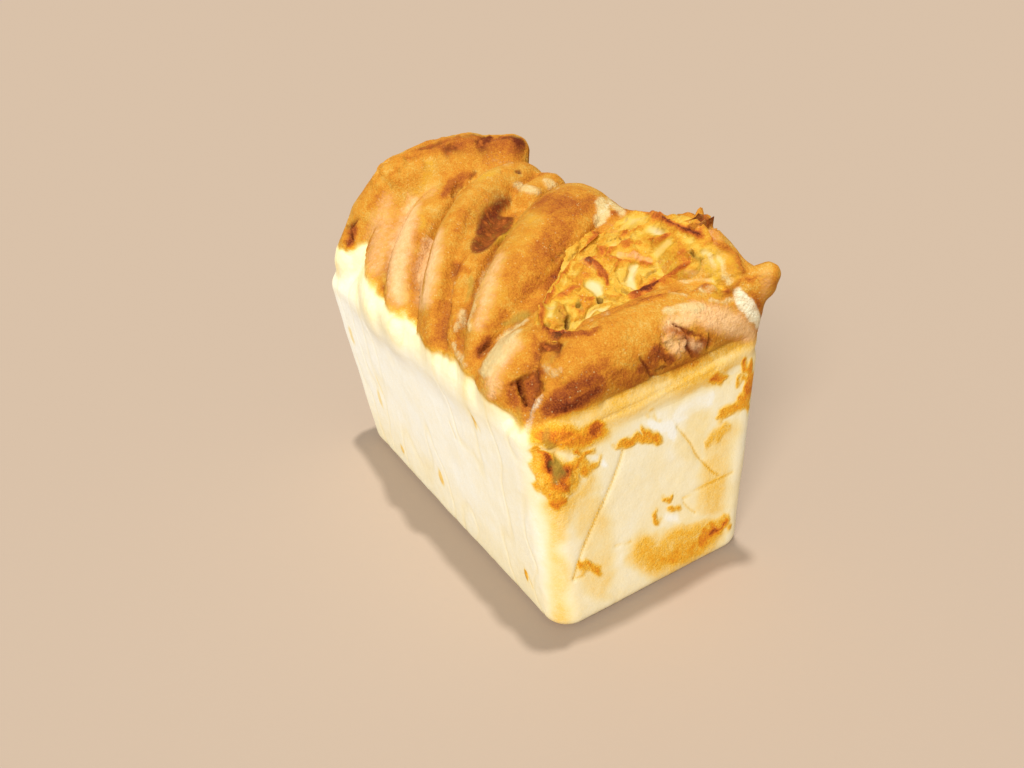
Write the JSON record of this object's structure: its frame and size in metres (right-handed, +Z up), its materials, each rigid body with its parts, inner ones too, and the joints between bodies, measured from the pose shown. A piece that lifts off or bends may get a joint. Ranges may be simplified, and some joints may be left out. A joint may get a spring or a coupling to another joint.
{
  "type": "cheese pull-apart bread",
  "caption": "Tin loaf of leaning golden dough lobes over straight pale walls, with browned melted cheese in its open fold.",
  "frame": {"origin": "middle of the loaf's box, on the flat underside it stands on", "axes": "+X along the loaf to the end with the cheese-filled fold, +Y across it to the high side of the crown, +Z up"},
  "size_m": [0.2162, 0.1128, 0.1534],
  "materials": {
    "crust": "baked bread crust: matt golden brown on the lobes, darker in spots, pale cream on the straight walls",
    "cheese": "melted cheese, baked: yellow and cream with orange-brown crusts, faintly oily"
  },
  "bodies": {
    "root": {"loaf": "crust", "melted_cheese": "cheese"}
  },
  "joints": []
}
